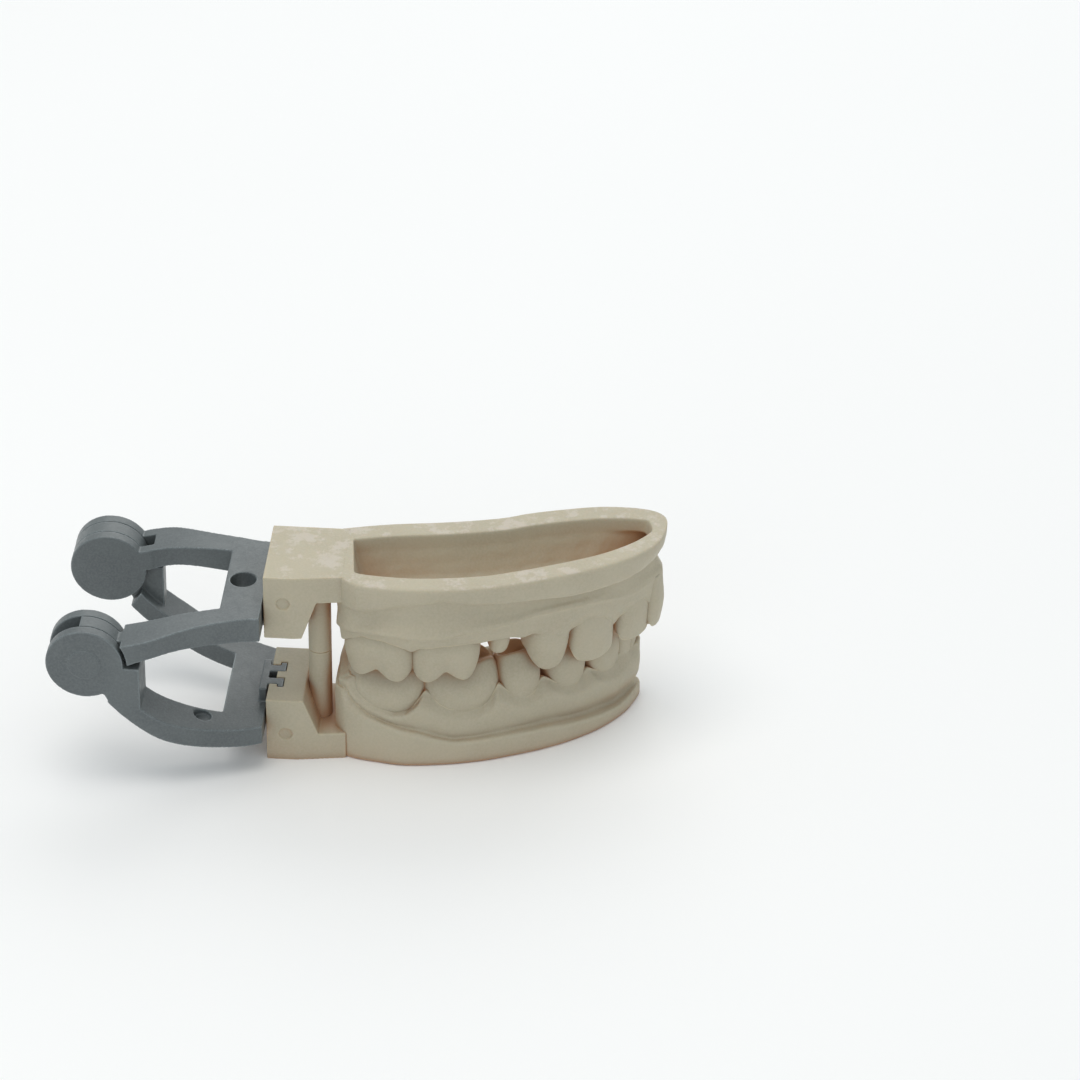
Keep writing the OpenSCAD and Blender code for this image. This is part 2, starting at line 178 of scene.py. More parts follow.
def grid_normals(g):
    down = np.gradient(g, axis=0)
    across = np.roll(g, -1, 1) - np.roll(g, 1, 1)
    n = np.cross(across, down)
    return n / np.maximum(np.linalg.norm(n, axis=-1, keepdims=True), 1e-9)


def ripple(p, scale):
    """A soft, repeatable unevenness between about -1 and 1, made of crossing waves."""
    x, y, z = (p[..., i] / scale for i in range(3))
    return (np.sin(1.9 * x + 1.3 * z + np.sin(2.3 * y + 0.7 * x)) * np.sin(2.1 * y - 1.1 * z + 0.4)
            + 0.5 * np.sin(4.3 * x - 3.1 * y + 2.2 * z + 1.7 * np.sin(1.6 * z))) / 1.5


# ---- Arch bases ----

# Columns along each side, and across the molar end
SIDE_N = 300
END_N = 70
# How far a column's place draws back from the two ends of its track, for each millimetre inset:
# from the molar end on the cheek and the tongue side, and from the tip
HEAD_DRAW = (1.45, 0.45)
TIP_DRAW = 1.6
# How far in from the gum outline the margins of the gum lie
MARGIN_IN = 1.5
# Rays look for the crowns from outside the outline to the deepest place where gum meets a crown
RAY_RUN = 3
DEEPEST = 1.9
# Columns at the tip that take their depth from the one before them
TIP_COLUMNS = 6
# Rounding passes of those depths
DEPTH_PASSES = 8

# The hollow: its depth in each base, the width of the rim round it, and its walls as
# (distance past the rim, part of the depth, steps) from the floor up
UPPER_HOLLOW = 8.5
LOWER_HOLLOW = 7.0
RIM_W = 3.8
FLOOR_IN = 5.0
WALL = ((3.2, 0.93, 6), (1.9, 0.78, 6), (1.0, 0.56, 6), (0.3, 0.3, 8))
RIM_STEPS = 12
# Rows from the middle of the floor: those drawn to the hollow's point, and those rounded sideways
POINT_ROWS = 34
HOLLOW_ROWS = 46
# The hollow's point in plan, and where along the sides it starts to narrow to it
UPPER_POINT = (60.7, 23.7)
LOWER_POINT = (56.7, 22.9)
NARROW_FROM = 0.84
NARROW_OVER = 0.14
NARROW_POWER = 1.6
# Rounding passes at the floor of the hollow and at its top, and how the first gives way:
# above 1 it is all soft, and below 0 all crisp
SOFT_PASSES = 60
CRISP_PASSES = 6
SOFT_AT_FLOOR = 1.6
SOFT_AT_TOP = -0.1

# The unevenness of the gum: (height, size), and the level where it starts and its fade
GUM_RIPPLES = ((0.05, 2.2), (0.02, 0.8))
RIPPLE_FROM = 1.5
RIPPLE_FADE = 2.0

# How far in, and at what height, the gum closes under the crowns
UPPER_CLOSING = (5.2, 11.4)
LOWER_CLOSING = (5.0, 10.8)


class Base:
    """Columns round one base: cheek side, tongue side back again, then the molar end."""

    def __init__(self, rim, gum, crowns):
        self.rim, self.gum = rim, gum
        self.crowns = crowns
        self.k = np.linspace(0, 1, SIDE_N)
        self.e = (np.arange(END_N) + 1) / (END_N + 1)
        # Where the columns are along x: on the gum outline, and as far in as the margins
        self.closest = self.place(gum, self.flat(0.0), 0)[:, 0]
        self.deeper = self.place(gum, self.flat(MARGIN_IN), 0)[:, 0]

    def join(self, fore, aft, end=0.0):
        """One value for each column, from one row of values for each side."""
        t = self.e * self.e * (3 - 2 * self.e)
        across = aft[0] + (fore[0] - aft[0]) * t + end * np.sin(self.e * math.pi)
        return np.concatenate([fore, aft[::-1], across])

    def line(self, front, back, end=0.0, passes=6, deep=False):
        """A value for each column, from (x, value) points of each side.

        With deep, x is where the columns are as far in as the margins.
        """
        x = self.deeper if deep else self.closest
        f = np.interp(x[:SIDE_N], *np.array(front, float).T)
        b = np.interp(x[2 * SIDE_N - 1:SIDE_N - 1:-1], *np.array(back, float).T)
        return smooth_columns(self.join(f, b, end)[None, :], passes)[0]

    def flat(self, value):
        return np.zeros(2 * SIDE_N + END_N) + value

    def along(self, tracks, own):
        """The points on both sides' tracks for columns inset by own."""
        return [track.at(own * head + self.k * (track.length - own * (head + TIP_DRAW)))
                for track, head in zip(tracks, HEAD_DRAW)]

    def place(self, tracks, inset, closing):
        """The columns' points in plan, inset from the tracks and drawn together by closing."""
        fore, aft = inset[:SIDE_N], inset[SIDE_N:2 * SIDE_N][::-1]
        sides = []
        for own in (fore, aft):
            f, b = self.along(tracks, own)
            gap = np.maximum(np.linalg.norm(b - f, axis=1), 0.01)
            sides.append((f, b, (np.minimum(own, gap / 2) / gap)[:, None]))
        f, b, room = sides[0]
        cheek = f + (b - f) * room
        f, b, room = sides[1]
        tongue = b + (f - b) * room
        middle = (cheek + tongue) / 2
        cheek = cheek + (middle - cheek) * closing
        tongue = tongue + (middle - tongue) * closing
        return np.vstack([cheek, tongue[::-1], tongue[0] + (cheek[0] - tongue[0]) * self.e[:, None]])

    def draw_to(self, rows, point):
        """Draws the columns by the tip of a hollow towards one point in plan."""
        pull = np.clip((self.k - NARROW_FROM) / NARROW_OVER, 0, 1) ** NARROW_POWER
        pull = np.concatenate([pull, pull[::-1], np.zeros(END_N)])[:, None]
        rows = rows.copy()
        rows[..., :2] += (np.array(point) - rows[..., :2]) * pull
        return rows

    def depth_of_teeth(self, height):
        """How far in from the gum outline the nearest crown's surface is, column by column."""
        found = []
        ends = self.along(self.gum, MARGIN_IN)
        for side in (0, 1):
            heights = height[:SIDE_N] if side == 0 else height[SIDE_N:2 * SIDE_N][::-1]
            starts = ends[side]
            aims = ends[1 - side] - starts
            aims = aims / np.maximum(np.linalg.norm(aims, axis=1, keepdims=True), 0.01)
            row = []
            for start, aim, z in zip(starts - aims * RAY_RUN, aims, heights):
                hit = self.crowns.ray_cast(Vector((*start, z)), Vector((*aim, 0)), RAY_RUN + DEEPEST)[3]
                row.append(DEEPEST if hit is None else min(max(hit - RAY_RUN, 0), DEEPEST))
            row = np.array(row)
            row[-TIP_COLUMNS:] = row[-TIP_COLUMNS - 1]
            found.append(row)
        return smooth_columns(self.join(*found)[None, :], DEPTH_PASSES)[0]

    def grid(self, stations):
        """Rows of points through the stations: tracks, inset, closing, height, steps to the next."""
        rows = []
        for now, after in zip(stations, stations[1:]):
            steps = now[4]
            ends = []
            for tracks, inset, closing, height, _ in (now, after):
                xy = self.place(tracks, self.flat(inset), closing)
                ends.append(np.column_stack([xy, self.flat(height)]))
            for step in range(steps):
                rows.append(ends[0] + (ends[1] - ends[0]) * (step / steps))
        rows.append(ends[1])
        return np.array(rows)


def base_piece(name, base, stations, upper, material):
    """One base from its stations, with a rounded hollow and an uneven gum."""
    g = base.grid(stations)
    ends = (g[0].copy(), g[-1].copy())
    soft, crisp = (smooth_columns(g[1:HOLLOW_ROWS], passes) for passes in (SOFT_PASSES, CRISP_PASSES))
    deep = np.clip(np.linspace(SOFT_AT_FLOOR, SOFT_AT_TOP, HOLLOW_ROWS - 1), 0, 1)[:, None, None]
    g[1:HOLLOW_ROWS] = soft * deep + crisp * (1 - deep)
    g[1:POINT_ROWS] = base.draw_to(g[1:POINT_ROWS], UPPER_POINT if upper else LOWER_POINT)
    g = smooth_rows(g, 1)
    rising = np.clip((g[..., 2:3] - RIPPLE_FROM) / RIPPLE_FADE, 0, 1)
    uneven = sum(height * ripple(g, size) for height, size in GUM_RIPPLES)
    g = g + grid_normals(g) * rising * uneven[..., None]
    g[0], g[-1] = ends
    verts = to_frame(g, upper).reshape(-1, 3)
    side = "upper" if upper else "lower"
    return mesh_piece(name, verts, ring_faces(*g.shape[:2]), side + "_model",
                      material, replaces=[side + "_base"])


def hollow_stations(rim, depth):
    """From the middle of the hollow's floor up its wall, over the rim and to its edge."""
    return [
        (rim, RIM_W + FLOOR_IN, 1, depth, 10),
        (rim, RIM_W + FLOOR_IN, 0, depth - 0.1, 6),
    ] + [(rim, RIM_W + further, 0, depth * part, steps) for further, part, steps in WALL] + [
        (rim, RIM_W, 0, 0.2, 2),
        (rim, RIM_W - 0.15, 0, 0, RIM_STEPS),
        (rim, 0.45, 0, 0, 2),
        (rim, 0.12, 0, 0.14, 2),
        (rim, 0.0, 0, 0.5, 3),
    ]


def margin_stations(base, start, margin, foot, proud):
    """The last stations of a gum: it rolls over, meets the crowns and goes in under them."""
    near = base.depth_of_teeth(margin - 0.7)
    there = base.depth_of_teeth(margin - 0.2)
    rise = margin - start
    return [
        (base.gum, foot * 0.7 + np.minimum(foot, near - proud) * 0.3, 0, start + 0.4 * rise, 3),
        (base.gum, foot * 0.3 + (near - proud) * 0.7, 0, start + 0.7 * rise, 3),
        (base.gum, near - proud, 0, start + 0.86 * rise, 3),
        (base.gum, there - proud * 0.6, 0, start + 0.95 * rise, 2),
        (base.gum, there + 0.15, 0, margin, 2),
        (base.gum, there + 0.9, 0, margin - 0.1, 2),
        (base.gum, np.maximum(there + 1.4, 3.2), 0, margin - 0.5, 4),
    ]


def upper_base(material, crowns):
    """The upper base and gum.

    Heights: lip, the edge of the rim's band; crest, the fold over the crowns; margin, where gum
    meets crown; saddle, the gum between the two rows of margins. Insets: flare, of the band;
    recess, of the hollow below it; swell, of the crest. fold is how strongly the crest turns in.
    """
    base = Base(UPPER_RIM, UPPER, crowns)
    lip = base.line(
        [(12.2, 5.6), (14, 5.3), (18.3, 4.4), (22, 3.4), (28, 2.4), (32.3, 3), (38, 3.7), (42.4, 3.9),
         (47.7, 4.6), (51.4, 4.4), (56, 4.4), (60, 4.2), (63.3, 4.2)],
        [(11.2, 4.2), (25, 3.2), (40, 3), (52, 3.3), (63.3, 4.2)])
    flare = base.line(
        [(12.2, 0.1), (50, 0.1), (56, 0.5), (60, 1.2), (63.3, 1.9)],
        [(11.2, 0), (52, 0.1), (60, 0.9), (63.3, 1.9)])
    crest = base.line(
        [(12.2, 10.3), (14, 9.8), (17.7, 9.2), (21.2, 9.3), (25.2, 9.7), (28, 9.7), (32.3, 9.2),
         (37.7, 8.9), (43, 8.3), (46.6, 8.3), (50.5, 8.6), (54.3, 9.2), (58, 10.4), (60.8, 10.6),
         (63.3, 9.5)],
        [(11.2, 8.6), (25, 8), (40, 8), (52, 8.2), (63.3, 9.5)])
    margin = base.line(
        [(12.2, 13), (13.2, 12.2), (15.8, 10.9), (19.4, 11.1), (21.8, 12), (23.5, 13), (25.2, 12.3),
         (28.9, 11.7), (31.4, 11.8), (33.8, 12.3), (36, 12.2), (39.2, 12.2), (41.5, 12.9), (43, 12.6),
         (45.1, 13), (47, 14.1), (48, 14.9), (49, 13.9), (50.7, 12.7), (52, 12.5), (53.3, 12.8),
         (54.9, 14.6), (55.6, 15.9), (57, 14), (59, 13), (59.9, 12.7), (60.8, 14.4), (61.6, 13),
         (62.7, 12.9), (63.3, 13)],
        [(11.2, 10.6), (16, 10), (22, 11.4), (28, 10.2), (34, 11), (40, 11), (44.5, 12.2), (49, 11.6),
         (54, 13), (60, 12.4), (63.3, 12.6)], passes=3, deep=True)
    fold = base.line(
        [(12.2, 1), (40, 1), (50, 0.4), (56, 0.1), (63.3, 0)],
        [(11.2, 0.6), (50, 0.4), (63.3, 0)])
    margin = np.maximum(margin, crest + 1)
    middle, level = UPPER_CLOSING
    saddle = base.line(
        [(12.2, 10.6), (31.5, 10.6), (34, 14.3), (41, 14.3), (43.5, 10.6), (63.3, 10.6)],
        [(11.2, 10.6), (63.3, 10.6)])
    recess = base.line(
        [(12.2, 0.8), (18, 1.3), (30, 1.2), (42, 1.0), (52, 0.8), (58, 1.2), (63.3, 2.2)],
        [(11.2, 0.4), (40, 0.6), (58, 1.0), (63.3, 2.2)])
    swell = base.line(
        [(12.2, 0.5), (18, 0.1), (30, 0.0), (44, 0.2), (51, 0.1), (55, 0.5), (63.3, 1.3)],
        [(11.2, 0.9), (40, 0.9), (58, 0.8), (63.3, 1.3)])
    stations = hollow_stations(base.rim, UPPER_HOLLOW) + [
        (base.rim, flare * 0.25, 0, lip * 0.45, 3),
        (base.rim, flare * 0.8, 0, lip - 0.8, 2),
        (base.rim, flare + 0.05, 0, lip - 0.25, 3),
        (base.rim, flare + 0.35, 0, lip, 3),
        (base.gum, np.maximum(recess * 0.9, flare + 0.4), 0, lip + 0.22, 4),
        (base.gum, recess * 1.05, 0, (lip * 1.6 + crest) / 2.6, 5),
        (base.gum, recess * 0.7 + swell * 0.3, 0, (lip + crest * 2) / 3, 5),
        (base.gum, swell + 0.12, 0, crest - 0.8, 3),
        (base.gum, swell, 0, crest - 0.2, 3),
        (base.gum, swell + 0.3 * fold, 0, crest + 0.05, 2),
        (base.gum, swell + 0.8 * fold, 0, crest + 0.3, 2),
    ] + margin_stations(base, crest + 0.3, margin, swell + 0.9 * fold, 0.3 * fold + 0.05) + [
        (base.gum, middle, 0, saddle, 6),
        (base.gum, middle, 1, level, 1),
    ]
    return base_piece("upper_gum_and_base", base, stations, True, material)


def lower_base(material, crowns):
    """The lower base and gum.

    Heights: lip, the top of the base's band; margin, where gum meets crown. Insets: valley, just
    above the lip; bulge, halfway up the gum.
    """
    base = Base(LOWER_RIM, LOWER, crowns)
    lip = base.line(
        [(12.2, 13), (13, 11), (15.6, 8.9), (18, 7.9), (20.2, 7.2), (24.4, 6.2), (27.9, 4.9), (30, 4.3),
         (33, 4.2), (38.2, 4.3), (45, 4.0), (51.8, 2.9), (56.2, 2.2), (59.4, 2.4)],
        [(11.4, 13.6), (16, 8), (24, 6.5), (40, 5.6), (52, 4), (59.4, 2.4)], end=1.4)
    margin = base.line(
        [(12.2, 16.8), (12.7, 14.9), (14, 12.8), (16, 11), (18.2, 9.9), (20.8, 9.4), (22.9, 9.9),
         (24.3, 11.5), (25.3, 13.4), (26.6, 12.4), (27.8, 11.2), (29.5, 10), (32.1, 9.3), (34.3, 9.4),
         (36, 10.8), (37.3, 13.1), (38.6, 11.7), (40.1, 10.3), (41.6, 9.6), (42.7, 10.1), (43.6, 11.3),
         (44.5, 12.2), (45.4, 11.6), (46.1, 10.8), (47.7, 9.5), (49.2, 9.1), (50.5, 9.7), (51.6, 11),
         (52.6, 10), (53.7, 9.4), (54.8, 9.5), (55.8, 10.2), (56.5, 11), (57.5, 10.5), (58.5, 10.4),
         (59.4, 11)],
        [(11.4, 16.6), (15, 13), (20, 11), (24.5, 12.6), (29, 10.6), (35, 12), (38, 10.8), (44, 11.4),
         (52, 11.4), (59.4, 11)], passes=3, deep=True)
    valley = base.line(
        [(12.2, 0.5), (18, 0.5), (30, 0.3), (40, 0.3), (52, 0.5), (57, 1.2), (59.4, 1.7)],
        [(11.4, 0.7), (40, 0.9), (59.4, 1.7)])
    bulge = base.line(
        [(12.2, 0.5), (30, 0.35), (50, 0.3), (56, 0.2), (59.4, 0.3)],
        [(11.4, 0.7), (40, 0.8), (59.4, 0.3)])
    margin = np.maximum(margin, lip + 2)
    rise = (margin - lip) * 0.5
    middle, level = LOWER_CLOSING
    stations = hollow_stations(base.rim, LOWER_HOLLOW) + [
        (base.rim, 0.0, 0, lip - 1.0, 3),
        (base.rim, 0.04, 0, lip - 0.3, 2),
        (base.rim, 0.25, 0, lip - 0.02, 2),
        (base.rim, 0.6, 0, lip + 0.04, 2),
        (base.gum, valley * 0.7 + 0.3, 0, lip + 0.02, 3),
        (base.gum, valley * 0.7 + 0.25, 0, lip + 0.25 * rise, 4),
        (base.gum, valley * 0.3 + bulge * 0.7 + 0.05, 0, lip + 0.6 * rise, 4),
        (base.gum, bulge, 0, lip + rise, 4),
    ] + margin_stations(base, lip + rise, margin, bulge + 0.1, 0.06) + [
        (base.gum, middle, 0, level, 6),
        (base.gum, middle, 1, level, 1),
    ]
    return base_piece("lower_gum_and_base", base, stations, False, material)


# ---- Teeth ----

CROWN_N = 128
# How much narrower a crown is on its tongue side, and how square it is from above
TAPER = 0.12
SQUARE = 0.86
# Steps between the rings of a crown: the first two stretches are its root, the first seven its wall
CROWN_STEPS = (3, 4, 5, 5, 5, 5, 4, 5, 5, 4, 4)
ROOT_ROW = sum(CROWN_STEPS[:2])
TABLE_ROW = sum(CROWN_STEPS[:7])
# Rings inside the crest: width, breadth, drop below the shoulder, part of the cusps' height
INNER_RINGS = ((0.6, 0.66, 0.2, 0.68), (0.4, 0.42, 0.5, 0.3), (0.2, 0.2, 0.75, 0.08))
PIT_DROP = 0.85
# Unevenness of the crowns: height and size
CROWN_RIPPLE = (0.025, 1.6)


def squared(v):
    return np.sign(v) * np.abs(v) ** SQUARE


def turn(a, at):
    """Degrees from the direction at to the angle a."""
    return (a - at + 540) % 360 - 180


def lobes(a, cusps):
    """Height above the shoulder by angle, from [direction, height, spread] of each cusp."""
    best = np.zeros_like(a)
    for at, height, spread in cusps:
        d = np.clip(np.abs(turn(a, at)) / spread, 0, 1)
        best = np.maximum(best, height * np.cos(d * math.pi / 2) ** 1.1)
    return best


def molar_cusps(front, back):
    return [(-52, front * 1.05, 50), (-128, front, 50), (54, back, 56), (126, back * 0.9, 56)]


def premolar_cusps(front, back):
    return [(-90, front, 82), (90, back, 70)]


def edge_cusp(tip):
    return [(-90, tip, 105), (90, tip, 105)]


def crown_grid(gum, width, depth, shoulder, table, cusps, kind):
    """Rows of points from the root to the pit: x along the arch, y in from the cheek, height."""
    a = (np.arange(CROWN_N) + 0.5) * 360 / CROWN_N
    ca, sa = squared(np.cos(np.radians(a))), squared(np.sin(np.radians(a)))
    rise = shoulder - gum
    near, far = table
    pit = (near + far) / 2
    top = lobes(a, cusps)

    def ring(wide, y0, y1, height):
        x = width * wide / 2 * ca * (1 - TAPER * sa)
        return np.column_stack([x, (y0 + y1) / 2 + (y1 - y0) / 2 * sa, np.zeros(CROWN_N) + height])

    def inside(wide, pitted):
        """Heights of a ring inside the crest: down into a pit, or level along a biting edge."""
        return shoulder + top.max() - wide * (top.max() - top) if kind == "edge" else pitted

    control = [
        ring(0.8, depth * 0.1, depth * 0.9, gum - 1.4),
        ring(0.86, depth * 0.07, depth * 0.95, gum - 0.4),
        ring(0.95, depth * 0.02, depth * 0.985, gum + rise * 0.2),
        ring(1, 0, depth, gum + rise * 0.45),
        ring(0.99, near * 0.12, depth + (far - depth) * 0.14, gum + rise * 0.68 + top * 0.14),
        ring(0.95, near * 0.5, depth + (far - depth) * 0.5, gum + rise * 0.86 + top * 0.55),
        ring(0.86, near * 0.86, far * 0.97 + depth * 0.03, shoulder - 0.05 + top * 0.93),
        ring(0.76, near * 1.12, far - 0.12 * near, shoulder + top * 0.97),
    ]
    for wide, broad, drop, part in INNER_RINGS:
        height = inside(wide, shoulder - drop + top * part)
        control.append(ring(wide, pit - (pit - near) * broad, pit + (far - pit) * broad, height))
    control.append(ring(0.0, pit, pit, inside(0.0, shoulder - PIT_DROP)))
    g = np.array([between(control, i, step / steps)
                  for i, steps in enumerate(CROWN_STEPS) for step in range(steps)] + control[-1:])
    flute(g, a, pit, kind)
    if kind != "edge":
        g[..., 2] -= fissures(g, width, depth, pit, kind)
    return g


def flute(g, a, pit, kind):
    """Presses the upright grooves into a crown's wall."""
    def groove(at, spread):
        return np.exp(-(turn(a, at) / spread) ** 2)

    if kind == "molar":
        depth = 0.7 * groove(-90, 13) + 0.4 * groove(92, 12)
    elif kind == "edge":
        depth = 0.12 * (groove(-62, 9) + groove(-118, 9))
    else:
        return
    v = np.arange(len(g))[:, None]
    climb = np.clip((v - ROOT_ROW) / (TABLE_ROW - ROOT_ROW), 0, 1)
    wall = climb ** 1.5 * (v <= TABLE_ROW)
    inward = np.stack([g[..., 0], g[..., 1] - pit], -1)
    inward = inward / np.maximum(np.linalg.norm(inward, axis=-1, keepdims=True), 0.2)
    g[..., :2] -= inward * (wall * depth)[..., None]


def fissures(g, width, depth, pit, kind):
    """How deep the chewing surface is cut at each point."""
    x, y = g[..., 0], g[..., 1]
    centre = pit + 0.35 * np.sin(2.4 * x / width * math.pi)
    reach = np.exp(-(x / (0.4 * width)) ** 4)
    cut = 0.55 * np.exp(-((y - centre) / 0.32) ** 2) * reach
    if kind == "molar":
        span = np.exp(-((y - pit) / (0.36 * depth)) ** 4)
        cut = np.maximum(cut, 0.5 * np.exp(-((x - 0.35 * np.sin(1.3 * y)) / 0.3) ** 2) * span)
        lean, deep, thin = 0.25, 0.26 * span, 0.28
    else:
        lean, deep, thin = 0.3, 0.22, 0.25
    for side in (-1, 1):
        slant = x - side * (0.2 * width + lean * np.abs(y - pit))
        cut = np.maximum(cut, deep * np.exp(-(slant / thin) ** 2) * reach)
    v = np.arange(len(g))[:, None]
    return np.clip((v - TABLE_ROW + 3) / 6, 0, 1) * cut


def stand(tracks, at, inset, grid):
    """A crown's grid stood on its arch, with a slight unevenness."""
    front = tracks[0]
    p, d = front.at(at), front.heading(at)
    n = np.array([-d[1], d[0]])
    g = smooth_rows(grid, 1)
    xy = p + g[..., :1] * d + (g[..., 1:2] + inset) * n
    g = np.concatenate([xy, g[..., 2:]], -1)
    normal = grid_normals(g)
    normal[-1] = 0
    height, size = CROWN_RIPPLE
    return g + normal * (height * ripple(g + at, size))[..., None]


def arch_crowns(upper):
    """Standing grids of every crown of one arch, by name."""
    tracks, gum, arch = (UPPER, UPPER_GUM, UPPER_TEETH) if upper else (LOWER, LOWER_GUM, LOWER_TEETH)
    return {name: stand(tracks, at, SET_IN.get(name, USUAL_IN), crown_grid(gum, *shape))
            for name, (at, *shape) in arch.items()}


def crown_tree(crowns):
    verts, faces = [], []
    for g in crowns.values():
        start = len(verts)
        verts += [tuple(p) for p in g.reshape(-1, 3)]
        faces += [tuple(i + start for i in face) for face in ring_faces(*g.shape[:2])]
    return BVHTree.FromPolygons(verts, faces)


def teeth(crowns, upper, material):
    side = "upper" if upper else "lower"
    for name, g in crowns.items():
        rows, columns = g.shape[:2]
        verts = list(to_frame(g, upper).reshape(-1, 3))
        verts.append(to_frame(g[0].mean(0), upper))
        faces = ring_faces(rows, columns)
        faces += [(i, len(verts) - 1, (i + 1) % columns) for i in range(columns)]
        mesh_piece(name + "_crown", verts, faces, side + "_model", material,
                   replaces=[name])


# Heights of the crowns' necks, measured from each rim
UPPER_GUM = 11
LOWER_GUM = 8.6
# How far in from the gum outline a crown stands, and the crowns that differ
USUAL_IN = 0.8
SET_IN = {"upper_prepared": 3.0, "upper_central": 0.1}
# Tooth: length along the cheek side, width, depth, shoulder, table edges, cusps, kind
UPPER_TEETH = {
    "upper_molar_2": (8.0, 12.0, 10.2, 16.6, (1.2, 8.8), molar_cusps(2.5, 1.0), "molar"),
    "upper_molar_1": (20.5, 11.7, 10.6, 16.6, (1.2, 9.2), molar_cusps(2.7, 1.0), "molar"),
    "upper_prepared": (30.5, 3.6, 5, 15.4, (1.2, 3.6), premolar_cusps(1.1, 0.8), "stub"),
    "upper_premolar_1": (39.1, 7.6, 8.8, 17.4, (1.5, 7.4), premolar_cusps(3.3, 1.0), "premolar"),
    "upper_canine": (47.0, 8.6, 7.4, 18, (1, 2.6), edge_cusp(3.2), "edge"),
    "upper_lateral": (55.5, 7, 6.6, 18.2, (0.9, 2.1), edge_cusp(1.9), "edge"),
    "upper_central": (60.9, 4.6, 6, 18.0, (0.9, 2.1), edge_cusp(1.5), "edge"),
}
LOWER_TEETH = {
    "lower_molar_2": (8.3, 13.6, 10, 16.0, (2.2, 8.4), molar_cusps(0.9, 1.0), "molar"),
    "lower_molar_1": (22.1, 12.9, 10, 16.1, (2.2, 8.4), molar_cusps(0.9, 1.0), "molar"),
    "lower_premolar_2": (32.7, 7.5, 8.4, 16.4, (2.2, 6.8), premolar_cusps(1.0, 0.5), "premolar"),
    "lower_premolar_1": (41.5, 7.8, 8, 16.6, (2.2, 6), premolar_cusps(1.0, 0.3), "premolar"),
    "lower_canine": (49.4, 7.1, 7, 16.3, (2.4, 3.8), edge_cusp(0.7), "edge"),
    "lower_lateral": (54.3, 4.6, 6.2, 16.6, (2.2, 3.2), edge_cusp(0.3), "edge"),
    "lower_central": (57.4, 3.8, 5, 16.6, (1.8, 2.7), edge_cusp(0.3), "edge"),
}


# ---- Materials ----

def new_material(name):
    material = bpy.data.materials.new(name)
    material.use_nodes = True
    tree = material.node_tree
    return material, tree, tree.nodes["Principled BSDF"]


def noise(tree, scale, detail=3.0, rough=0.5):
    coords = tree.nodes.get("coords") or tree.nodes.new("ShaderNodeTexCoord")
    coords.name = "coords"
    node = tree.nodes.new("ShaderNodeTexNoise")
    node.inputs["Scale"].default_value = scale
    node.inputs["Detail"].default_value = detail
    node.inputs["Roughness"].default_value = rough
    tree.links.new(coords.outputs["Object"], node.inputs["Vector"])
    return node.outputs["Fac"]


def ramp(tree, source, low, high, to_low=0.0, to_high=1.0):
    node = tree.nodes.new("ShaderNodeMapRange")
    node.interpolation_type = "SMOOTHSTEP"
    for socket, value in zip(("From Min", "From Max", "To Min", "To Max"), (low, high, to_low, to_high)):
        node.inputs[socket].default_value = value
    tree.links.new(source, node.inputs["Value"])
    return node.outputs["Result"]


def mix(tree, factor, a, b, mode="MIX"):
    node = tree.nodes.new("ShaderNodeMix")
    node.data_type = "RGBA"
    node.blend_type = mode
    sockets = (node.inputs[0], node.inputs[6], node.inputs[7])
    for socket, value in zip(sockets, (factor, a, b)):
        if isinstance(value, (int, float)):
            socket.default_value = value
        elif isinstance(value, tuple):
            socket.default_value = (*value, 1)
        else:
            tree.links.new(value, socket)
    return node.outputs[2]


def bumps(tree, shader, layers):
    """Stacks bump nodes: (height source, strength, distance in metres)."""
    normal = None
    for source, strength, distance in layers:
        node = tree.nodes.new("ShaderNodeBump")
        node.inputs["Strength"].default_value = strength
        node.inputs["Distance"].default_value = distance
        tree.links.new(source, node.inputs["Height"])
        if normal:
            tree.links.new(normal, node.inputs["Normal"])
        normal = node.outputs["Normal"]
    tree.links.new(normal, shader.inputs["Normal"])


def edges(tree, radius):
    """1 on flat ground, less where the surface turns within the radius: the mask that places painted
    edge highlights.
    """
    rounded = tree.nodes.new("ShaderNodeBevel")
    rounded.samples = 6
    rounded.inputs["Radius"].default_value = radius
    plain = tree.nodes.new("ShaderNodeNewGeometry")
    dot = tree.nodes.new("ShaderNodeVectorMath")
    dot.operation = "DOT_PRODUCT"
    tree.links.new(rounded.outputs["Normal"], dot.inputs[0])
    tree.links.new(plain.outputs["Normal"], dot.inputs[1])
    return dot.outputs["Value"]


def occlusion_shade_mask(tree, distance):
    """1 in the open, less in creases and corners: the ambient occlusion mask that places painted shade.
    """
    shade = tree.nodes.new("ShaderNodeAmbientOcclusion")
    shade.samples = 8
    shade.inputs["Distance"].default_value = distance
    return shade.outputs["AO"]


def top_face(tree, strength):
    """The strength on the face that was printed against the supports, and 0 elsewhere."""
    height = tree.nodes.new("ShaderNodeSeparateXYZ")
    tree.links.new(tree.nodes["coords"].outputs["Object"], height.inputs[0])
    top = CORNER.z + MODEL_H * MM
    level = ramp(tree, height.outputs["Z"], top - 0.0002, top - 0.00005)
    product = tree.nodes.new("ShaderNodeMath")
    product.operation = "MULTIPLY"
    tree.links.new(level, product.inputs[0])
    tree.links.new(strength, product.inputs[1])
    return product.outputs[0]


RESIN = ((0.441, 0.398, 0.296), (0.470, 0.426, 0.318))
RESIN_GRAIN = (0.53, 0.475, 0.365)
RESIN_MARKS = (0.62, 0.56, 0.50)
# Painted shade for the resin's creases and corners
RESIN_PAINTED_CREASE_SHADE = (0.23, 0.155, 0.105)
# Painted shade for deep hollows, warmed like light bounced inside them
RESIN_PAINTED_HOLLOW_SHADE = (0.50, 0.28, 0.155)
